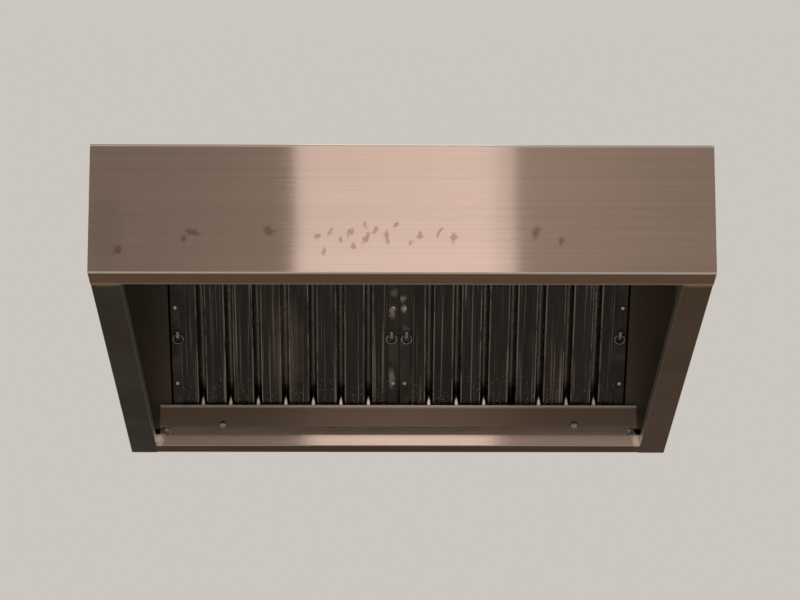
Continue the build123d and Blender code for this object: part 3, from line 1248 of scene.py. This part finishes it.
@dataclass
class WeldBeads:
    """Rippled weld beads where the folded gutters and the panels meet."""

    width: float = 0.0046
    height: float = 0.0012
    ripple: float = 0.0022
    from_seam_end: float = 0.001
    stitch_length: float = 0.022
    stitch_heights: tuple[float, ...] = (0.036, 0.112, 0.188)
    stitch_from_sheet: float = 0.0014

    def bead(self, length: float) -> Workpiece:
        """Makes one bead along +X from the origin.

        Args:
            length: Its length.

        Returns:
            The bead, on the plane below its +Z.
        """
        rings = max(3, round(length / self.ripple))
        body = Workpiece(
            "weld_bead", bpy.ops.mesh.primitive_grid_add, x_subdivisions=2 * rings,
            y_subdivisions=6, size=1.0, location=(length / 2, 0, 0)
        )
        body.thing.scale = (length, self.width, 1)
        settle(body.thing)
        for vertex in body.thing.data.vertices:
            x, y, _ = vertex.co
            across = max(0.0, 1 - (2 * y / self.width) ** 2)
            ends = min(1.0, x / self.width, (length - x) / self.width)
            scallop = abs(math.sin(math.pi * (x - 0.35 * abs(y)) / self.ripple))
            hump = math.sqrt(across * max(0.0, ends))
            vertex.co.z = self.height * hump * (0.72 + 0.28 * scallop)
        body.modify("SOLIDIFY", thickness=0.0004, offset=-1.0)
        body.smooth(60)
        return body

    def lay(
        self, name: str, length: float, places: list[Matrix], metal: bpy.types.Material
    ) -> None:
        """Lays beads of one length and hands them in."""
        piece = repeat(self.bead(length), name, places)
        hand_in(piece, metal, "canopy")

    def build(self, metal: bpy.types.Material) -> None:
        """Lays the gutters' corner seams and the stitches along the panels' edges.

        Args:
            metal: The material that they get.
        """
        slope_angle = math.atan2(-cad_low.z, -cad_low.y)
        seam_y = cad_low.y + FRONT_GUTTER * math.cos(slope_angle)
        seam_z = -FRONT_GUTTER * math.sin(slope_angle)
        below = turned(math.pi - slope_angle, "X")
        places = [
            Matrix.Translation((x + self.from_seam_end, seam_y, seam_z)) @ below
            for x in (cad_low.x, cad_high.x - SIDE_GUTTER)
        ]
        self.lay("gutter_welds_front", SIDE_GUTTER - 2 * self.from_seam_end, places, metal)

        stitches = []
        set_back = SHEET + self.stitch_from_sheet
        upright = turned(-math.pi / 2, "Y") @ turned(-math.pi / 2, "X")
        for side in SIDES:
            turn = turned(side * math.pi / 4)
            for z in self.stitch_heights:
                corner = (side * (cad_high.x - set_back), cad_low.y + set_back, z)
                stitches.append(Matrix.Translation(corner) @ turn @ upright)
        self.lay("panel_stitches", self.stitch_length, stitches, metal)


@dataclass
class SpotWelds:
    """The shallow rings that spot welding leaves on the sheets."""

    radius: float = 0.0026
    rim: float = 0.0004
    height: float = 0.2405
    pitch: float = 0.1
    side_count: int = 9
    first_on_side: float = 0.045
    back_count: int = 12

    def ring(self) -> Workpiece:
        """Makes one ring.

        Returns:
            The ring, which points along +Z.
        """
        made = Workpiece(
            "spot_weld", bpy.ops.mesh.primitive_torus_add, major_segments=20,
            minor_segments=6, major_radius=self.radius, minor_radius=self.rim
        )
        with made.editing(whole=True):
            bpy.ops.transform.resize(value=(1, 1, 0.6))
        made.smooth(60)
        return made

    def build(self, metal: bpy.types.Material) -> None:
        """Marks the rows where the lid's flanges are welded inside the side and back panels.

        Args:
            metal: The material that they get.
        """
        places = []
        for side in SIDES:
            outward = turned(side * math.pi / 2, "Y")
            for number in range(self.side_count):
                at = (side * cad_high.x, -self.first_on_side - self.pitch * number, self.height)
                places.append(Matrix.Translation(at) @ outward)
        backward = turned(-math.pi / 2, "X")
        for number in range(self.back_count):
            at = ((number - (self.back_count - 1) / 2) * self.pitch, 0.0, self.height)
            places.append(Matrix.Translation(at) @ backward)
        hand_in(repeat(self.ring(), "spot_welds", places), metal, "canopy")


@dataclass
class SpigotTrim:
    """What finishes the duct spigot: its lap seam and the sealant round its flange."""

    lap_width: float = 0.014
    lap_thickness: float = 0.0008
    lap_turn: float = 2.1
    lap_over_flange: float = 0.001
    bead_radius: float = 0.0024

    def lap(self, metal: bpy.types.Material) -> None:
        """Adds the strip where the collar's sheet laps over itself.

        Args:
            metal: The material that it gets.
        """
        low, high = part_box("duct_spigot")
        centre = (low + high) / 2
        sizes = mount_sizes("duct_spigot")
        radius = sizes["r_mm"] / 1000
        foot = high.z - sizes["length_mm"] / 1000 + self.lap_over_flange
        strip = Workpiece(
            "spigot_lap", bpy.ops.mesh.primitive_cube_add, size=1.0,
            location=(0, 0, (foot + high.z) / 2),
            scale=(self.lap_thickness, self.lap_width, high.z - foot)
        )
        settle(strip.thing)
        with strip.editing(whole=True):
            bpy.ops.mesh.subdivide(number_cuts=5)
        for vertex in strip.thing.data.vertices:
            angle = vertex.co.y / radius
            reach = radius + self.lap_thickness / 2 + vertex.co.x
            vertex.co.x = reach * math.cos(angle)
            vertex.co.y = reach * math.sin(angle)
        strip.soften(0.0002)
        strip.smooth()
        turn = Matrix.Translation((centre.x, centre.y, 0)) @ turned(self.lap_turn)
        hand_in(repeat(strip, "spigot_lap", [turn]), metal, "canopy")

    def sealant(self, silicone: bpy.types.Material) -> None:
        """Lays the uneven bead where the flange meets the lid.

        Args:
            silicone: The material that it gets.
        """
        low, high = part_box("duct_spigot")
        centre = (low + high) / 2
        ring = (high.x - low.x) / 2
        bead = Workpiece(
            "spigot_sealant", bpy.ops.mesh.primitive_torus_add, major_segments=180,
            minor_segments=12, major_radius=ring, minor_radius=self.bead_radius
        )
        for vertex in bead.thing.data.vertices:
            angle = math.atan2(vertex.co.y, vertex.co.x)
            swell = 1 + 0.16 * math.sin(7 * angle) + 0.10 * math.sin(23 * angle + 1.0)
            flat = math.hypot(vertex.co.x, vertex.co.y)
            spread = (ring + (flat - ring) * swell * 1.3) / flat
            vertex.co.x *= spread
            vertex.co.y *= spread
            vertex.co.z = max(0.0, vertex.co.z * swell * 0.8)
        bead.smooth(80)
        at = Matrix.Translation((centre.x, centre.y, low.z))
        hand_in(repeat(bead, "spigot_sealant", [at]), silicone, "canopy")


@dataclass
class GreaseBeads:
    """Beads of grease that gather on the baffles just above the trough."""

    count: int = 300
    largest: float = 0.0015
    flatness: float = 0.7
    lowest: float = 0.024
    climb: float = 0.075
    seed: int = 11

    def build(self, slope: Slope, grease: bpy.types.Material) -> None:
        """Scatters the beads over the lower stretch of each filter's front baffles.

        Args:
            slope: The filters' slope.
            grease: The material that they get.
        """
        draw = np.random.default_rng(self.seed)
        for name in FILTERS:
            middle = filter_middle(name)
            places = []
            for _ in range(self.count):
                baffle = draw.integers(BAFFLE_COUNT) - (BAFFLE_COUNT - 1) / 2
                x = middle + baffle * BAFFLE_PITCH + draw.uniform(-0.45, 0.45) * BAFFLE_WIDTH
                rise = self.lowest + self.climb * draw.random() ** 1.8
                size = draw.uniform(0.3, 1.0)
                stretch = draw.uniform(1.0, 1.9)
                sit = slope.place(x, rise, -FILTER_SHEET)
                shape = (size, size * stretch, size * self.flatness, 1.0)
                places.append(sit @ Matrix.Diagonal(shape))
            drop = Workpiece(
                "grease_bead", bpy.ops.mesh.primitive_uv_sphere_add, segments=10, ring_count=6,
                radius=self.largest
            )
            with drop.editing(whole=True):
                drop.halve()
            drop.smooth(80)
            piece = repeat(drop, f"{name}_grease_beads", places)
            hand_in(piece, grease, f"{name}_filter")


class Canopy:
    """The whole canopy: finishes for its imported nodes, and the small pieces added to them."""

    def __init__(self) -> None:
        """Reads the filters' slope and makes the finishes that several pieces share."""
        self.slope = Slope.read()
        self.bolt_metal = BrightMetal("bolt_metal", (0.95, 0.90, 0.83), gloss=0.42).make()
        self.rivet_metal = BrightMetal("rivet_metal", (0.60, 0.57, 0.52), stained=0.5).make()
        self.worn_metal = BrightMetal("worn_metal", (0.40, 0.36, 0.32), stained=0.6).make()
        self.weld_metal = BrightMetal(
            "weld_metal", (0.34, 0.30, 0.26), (0.16, 0.105, 0.065), 0.32, 0.7
        ).make()

    def dress_sheets(self) -> None:
        """Gives the folded sheets their finishes."""
        front = BrushedSheet(
            "front_sheet", film_and_shade_below=1.0, gloss=0.078, brushed=0.045,
            grease=(0.180, 0.106, 0.062),
            marks=(*touch_marks(), *corner_heat(), *fold_highlights()),
        )
        # The side sheets are a lit and a shaded copy: the left sheet's darker film is painted shade
        left = BrushedSheet(
            "left_sheet", Grain.DEEP, film_and_shade_below=1.0, film_metal=0.12, film_ior=1.1,
            grease=(0.030, 0.020, 0.013), marks=corner_heat(),
        )
        right = BrushedSheet(
            "right_sheet", Grain.DEEP, film_and_shade_below=1.0, film_metal=0.12, film_ior=1.1,
            grease=(0.078, 0.046, 0.026), marks=corner_heat(),
        )
        back = BrushedSheet("back_sheet", film_inside=0.05, film_and_shade_below=1.0, marks=rear_highlights())
        lid = BrushedSheet("lid_sheet", film_outside=0.05, film_inside=0.85, marks=lid_edge_highlight())
        trough = BrushedSheet(
            "trough_sheet", steel=(0.225, 0.188, 0.160), film_inside=0.42, marks=hem_highlight()
        )
        dull = BrushedSheet(
            "stained_sheet", steel=(0.36, 0.30, 0.25), film_inside=0.80, film_metal=0.40,
            grease=(0.165, 0.130, 0.098),
        )
        cheek = BrushedSheet(
            "cheek_sheet", steel=(0.24, 0.20, 0.17), film_inside=1.0, film_and_shade_below=1.0,
            film_metal=0.12, film_ior=1.15, grease=(0.088, 0.068, 0.052),
        )
        sheets = {
            "front_panel": front,
            "left_side_panel": left,
            "right_side_panel": right,
            "back_panel": back,
            "top_panel": lid,
            "grease_trough": trough,
            "filter_rest": dull,
            "head_panel": dull,
            "head_channel": dull,
            "centre_post": dull,
            "left_cheek": cheek,
            "right_cheek": cheek,
        }
        made = {finish.name: finish.make() for finish in sheets.values()}
        for node, finish in sheets.items():
            dress(frame["nodes"][node], made[finish.name])
        dress(frame["nodes"]["duct_spigot"], Galvanised("galvanised_sheet").make())
        log.info("sheets dressed: %d nodes", len(sheets) + 1)

    def highlight_patches(self, name: str) -> tuple[Mark, ...]:
        """The painted highlights on the inner side of a filter's frame, beside the other filter.

        Args:
            name: The filter: left or right.

        Returns:
            The patches, whose tone isn't used: they only thin the grease.
        """
        grey, narrow, taller = (0.5, 0.5, 0.5), 0.008, 1.3
        # Each patch's place along X, its rise up the slope, its height and its strength
        spots = {
            "left": (
                (-0.015, 0.255, 0.014, 0.70),
                (-0.011, 0.300, 0.009, 0.35),
                (-0.016, 0.092, 0.024, 0.55),
            ),
            "right": (
                (0.008, 0.288, 0.009, 0.60),
                (0.010, 0.262, 0.010, 0.70),
                (0.014, 0.215, 0.009, 0.25),
            ),
        }
        marks = []
        for x, rise, tall, strength in spots[name]:
            at = tuple(self.slope.place(x, rise).translation)
            marks.append(Mark(at, (narrow, tall, taller * tall), grey, strength, 0.35))
        return tuple(marks)

    def caked_patches(self, name: str, middle: float) -> tuple[Mark, ...]:
        """The lighter cake of grease over the left filter's middle gap.

        Args:
            name: The filter: left or right.
            middle: The filter's middle along the canopy.

        Returns:
            The left filter's patch, and none for the right filter.
        """
        if name != "left":
            return ()
        brown, reach = (0.125, 0.098, 0.070), (0.042, 0.140, 0.150)
        at = tuple(self.slope.place(middle + 0.004, 0.16).translation)
        return (Mark(at, reach, brown, 0.75, 0.6),)

    def dress_filters(self) -> None:
        """Gives both filters' frames, baffles and ring pulls their finishes."""
        ring_metal = BrightMetal(
            "ring_metal", (0.40, 0.36, 0.32), (0.07, 0.05, 0.035), 0.22, 0.7
        ).make()
        # Each row's shift in pitches, its wear with painted highlights, and its painted highlight along the middle
        rows = {"front": (0.5, 1.0, 0.0), "rear": (0.0, 0.15, 0.55)}
        for name in FILTERS:
            middle = filter_middle(name)
            low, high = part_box(f"{name}_filter_frame")
            bared_highlights = self.highlight_patches(name)
            steel = GreasedFrame(f"{name}_frame_steel", middle, low.z, high.z, bared_highlights)
            dress(frame["nodes"][f"{name}_filter_frame"], steel.make())
            caked = self.caked_patches(name, middle)
            for row, looks in rows.items():
                finish = GreasedBaffle(f"{name}_{row}_baffle_steel", middle, *looks, caked)
                dress(frame["nodes"][f"{name}_{row}_baffles"], finish.make())
            dress(frame["nodes"][f"{name}_ring_pulls"], ring_metal)
        log.info("filters dressed")

    def add_fittings(self) -> None:
        """Adds the bolts, screws, rivets, welds, sealant and grease."""
        WallBolts().build(self.bolt_metal)
        PlateScrews().build(self.worn_metal)
        rivets = Rivets()
        rivets.build_frames(self.slope, self.rivet_metal)
        rivets.build_spigot(self.rivet_metal)
        WeldBeads().build(self.weld_metal)
        SpotWelds().build(self.weld_metal)
        trim = SpigotTrim()
        trim.lap(Galvanised("lap_sheet").make())
        trim.sealant(Sealant("grey_silicone").make())
        GreaseBeads().build(self.slope, Grease("amber_grease").make())


@dataclass
class Studio:
    """A plain pale floor and background, soft lamps, and the camera at floor level."""

    camera_place: tuple[float, float, float] = (-0.050, -5.442, -0.815)
    look_up: float = 9.53
    look_right: float = 0.57
    lens: float = 109.0
    floor_gap: float = 0.02
    floor_radius: float = 40.0
    pale: Colour = (0.600, 0.564, 0.524)
    overhead: Colour = (0.95, 0.92, 0.88)
    warm_side: Colour = (0.475, 0.352, 0.286)
    daylight: Colour = (1.0, 0.985, 0.965)
    daylight_strength: float = 0.72
    card_warmth: Colour = (1.0, 0.80, 0.74)

    def camera(self) -> None:
        """Sets the camera where the photograph was taken, with a longer lens."""
        data = bpy.data.cameras.new("camera")
        data.lens = self.lens
        data.sensor_width = 36.0
        camera = bpy.data.objects.new("camera", data)
        camera.location = self.camera_place
        camera.rotation_euler = (
            math.radians(90 + self.look_up),
            0.0,
            math.radians(-self.look_right),
        )
        bpy.context.scene.collection.objects.link(camera)
        bpy.context.scene.camera = camera

    def floor(self) -> None:
        """Lays the floor just under the camera."""
        bpy.ops.object.select_all(action="DESELECT")
        height = self.camera_place[2] - self.floor_gap
        bpy.ops.mesh.primitive_circle_add(
            vertices=96, radius=self.floor_radius, fill_type="NGON", location=(0, 0, height)
        )
        floor = bpy.context.active_object
        floor.name = "studio_floor"
        settle(floor)
        recipe = Recipe("studio_floor")
        mottle = recipe.noise((1.3, 1.3, 1.3), 3.0)
        darker, lighter = (tuple(f * c for c in self.pale) for f in (1.02, 1.06))
        pale = recipe.blend(mottle, darker, lighter)
        dress(floor, recipe.finish(base_color=pale, roughness=0.85))
        away = recipe.vector("LENGTH", recipe.space, out="Value")
        far = recipe.times(recipe.seen(), recipe.ease(away, 2.2, 7.5))
        glow = recipe.node("ShaderNodeEmission", {"Color": self.surround(recipe)}).outputs[0]
        recipe.end("Material Output", far, recipe.shader.outputs[0], glow)

    def surround(self, nodes: Nodes) -> Socket:
        """The background's colour: pale, and in front of the canopy a warm brown.

        The brown is dimmer on its left side and a little dimmer at its far right.

        Args:
            nodes: The tree that shows it.

        Returns:
            The colour in the direction of the tree's coordinates from the origin.
        """
        forwards = (0.0, -0.985, 0.174)
        unit = nodes.vector("NORMALIZE", nodes.space)
        ahead = nodes.vector("DOT_PRODUCT", unit, forwards, out="Value")
        sideways = nodes.node("ShaderNodeSeparateXYZ", {0: unit}).outputs["X"]
        left = nodes.ease(sideways, -0.125, 0.05, 0.66, 1.08)
        right = nodes.ease(sideways, 0.06, 0.15, 1.0, 0.78)
        brown = nodes.scaled(self.warm_side, nodes.times(left, right))
        return nodes.blend(nodes.ease(ahead, 0.915, 0.97), self.pale, brown)

    def world(self) -> None:
        """A pale surround for the eye and for reflections, and a softer one that lights."""
        world = bpy.data.worlds.new("studio")
        world.use_nodes = True
        bpy.context.scene.world = world
        nodes = Nodes(world.node_tree, "Generated")
        height = nodes.ease(nodes.axis("Z"), 0.26, 0.85)
        sky = nodes.blend(height, self.surround(nodes), self.overhead)
        shown = nodes.node("ShaderNodeBackground", {"Color": sky}).outputs[0]
        lit = world.node_tree.nodes["Background"]
        lit.inputs["Color"].default_value = (*self.daylight, 1.0)
        lit.inputs["Strength"].default_value = self.daylight_strength
        nodes.end("World Output", nodes.seen(), lit.outputs[0], shown)

    def lamp(
        self,
        name: str,
        place: tuple[float, float, float],
        target: tuple[float, float, float],
        size: tuple[float, float],
        radiance: float,
        colour: Colour,
    ) -> None:
        """Adds a soft rectangular lamp. A card lights nothing and is only seen in the metal.

        Args:
            name: Its name.
            place: Where it is.
            target: What it points at.
            size: Its width and height.
            radiance: How bright its face looks.
            colour: Its colour.
        """
        data = bpy.data.lights.new(name, "AREA")
        data.shape = "RECTANGLE"
        data.size, data.size_y = size
        data.energy = radiance * math.pi * size[0] * size[1]
        data.color = colour
        lamp = bpy.data.objects.new(name, data)
        lamp.location = place
        aim = Vector(target) - Vector(place)
        lamp.rotation_euler = aim.to_track_quat("-Z", "Y").to_euler()
        lamp.visible_diffuse = not name.endswith("card")
        bpy.context.scene.collection.objects.link(lamp)

    def build(self) -> None:
        """Sets up the whole studio."""
        self.camera()
        self.floor()
        self.world()
        card_y, panel_y, middle = -5.60, -0.9, (0.0, -0.45, 0.0)
        # Name, place along X, height, size and radiance
        cards = (
            ("front_card", 0.022, 1.28, (0.778, 1.36), 0.78),
            ("front_edge_card", 0.452, 1.28, (0.082, 1.36), 0.55),
            ("front_foot_card", 0.063, 0.35, (0.86, 0.50), 2.2),
        )
        for name, x, z, size, radiance in cards:
            self.lamp(name, (x, card_y, z), (x, panel_y, z), size, radiance, self.card_warmth)
        for name, side in (("left_card", -1), ("right_card", 1)):
            place, target = ((reach * side, -0.30, 0.75) for reach in (5.6, 0.6))
            self.lamp(name, place, target, (0.62, 1.7), 0.42, (1.0, 0.98, 0.95))
        # Name, place, size, radiance and colour
        lamps = (
            ("key_soft", (3.2, -4.6, 3.0), (2.6, 2.2), 2.6, (1.0, 0.98, 0.95)),
            ("fill_soft", (-3.4, -3.6, 1.6), (2.4, 2.0), 1.2, (1.0, 0.97, 0.94)),
            ("rim_soft", (1.8, 4.0, 2.4), (2.6, 1.8), 1.8, (0.98, 0.98, 1.0)),
            ("back_soft", (-4.2, 3.6, 2.6), (1.2, 2.4), 0.9, (1.0, 0.99, 0.98)),
        )
        for name, place, size, radiance, colour in lamps:
            self.lamp(name, place, middle, size, radiance, colour)
        view = bpy.context.scene.view_settings
        view.view_transform = "Standard"
        log.info("studio set up")


def main() -> None:
    """Dresses the canopy, adds its fittings and sets up the studio."""
    logging.basicConfig(level=logging.INFO, format="%(message)s")
    Studio().build()
    canopy = Canopy()
    canopy.dress_sheets()
    canopy.dress_filters()
    canopy.add_fittings()


if __name__ == "__main__":
    main()
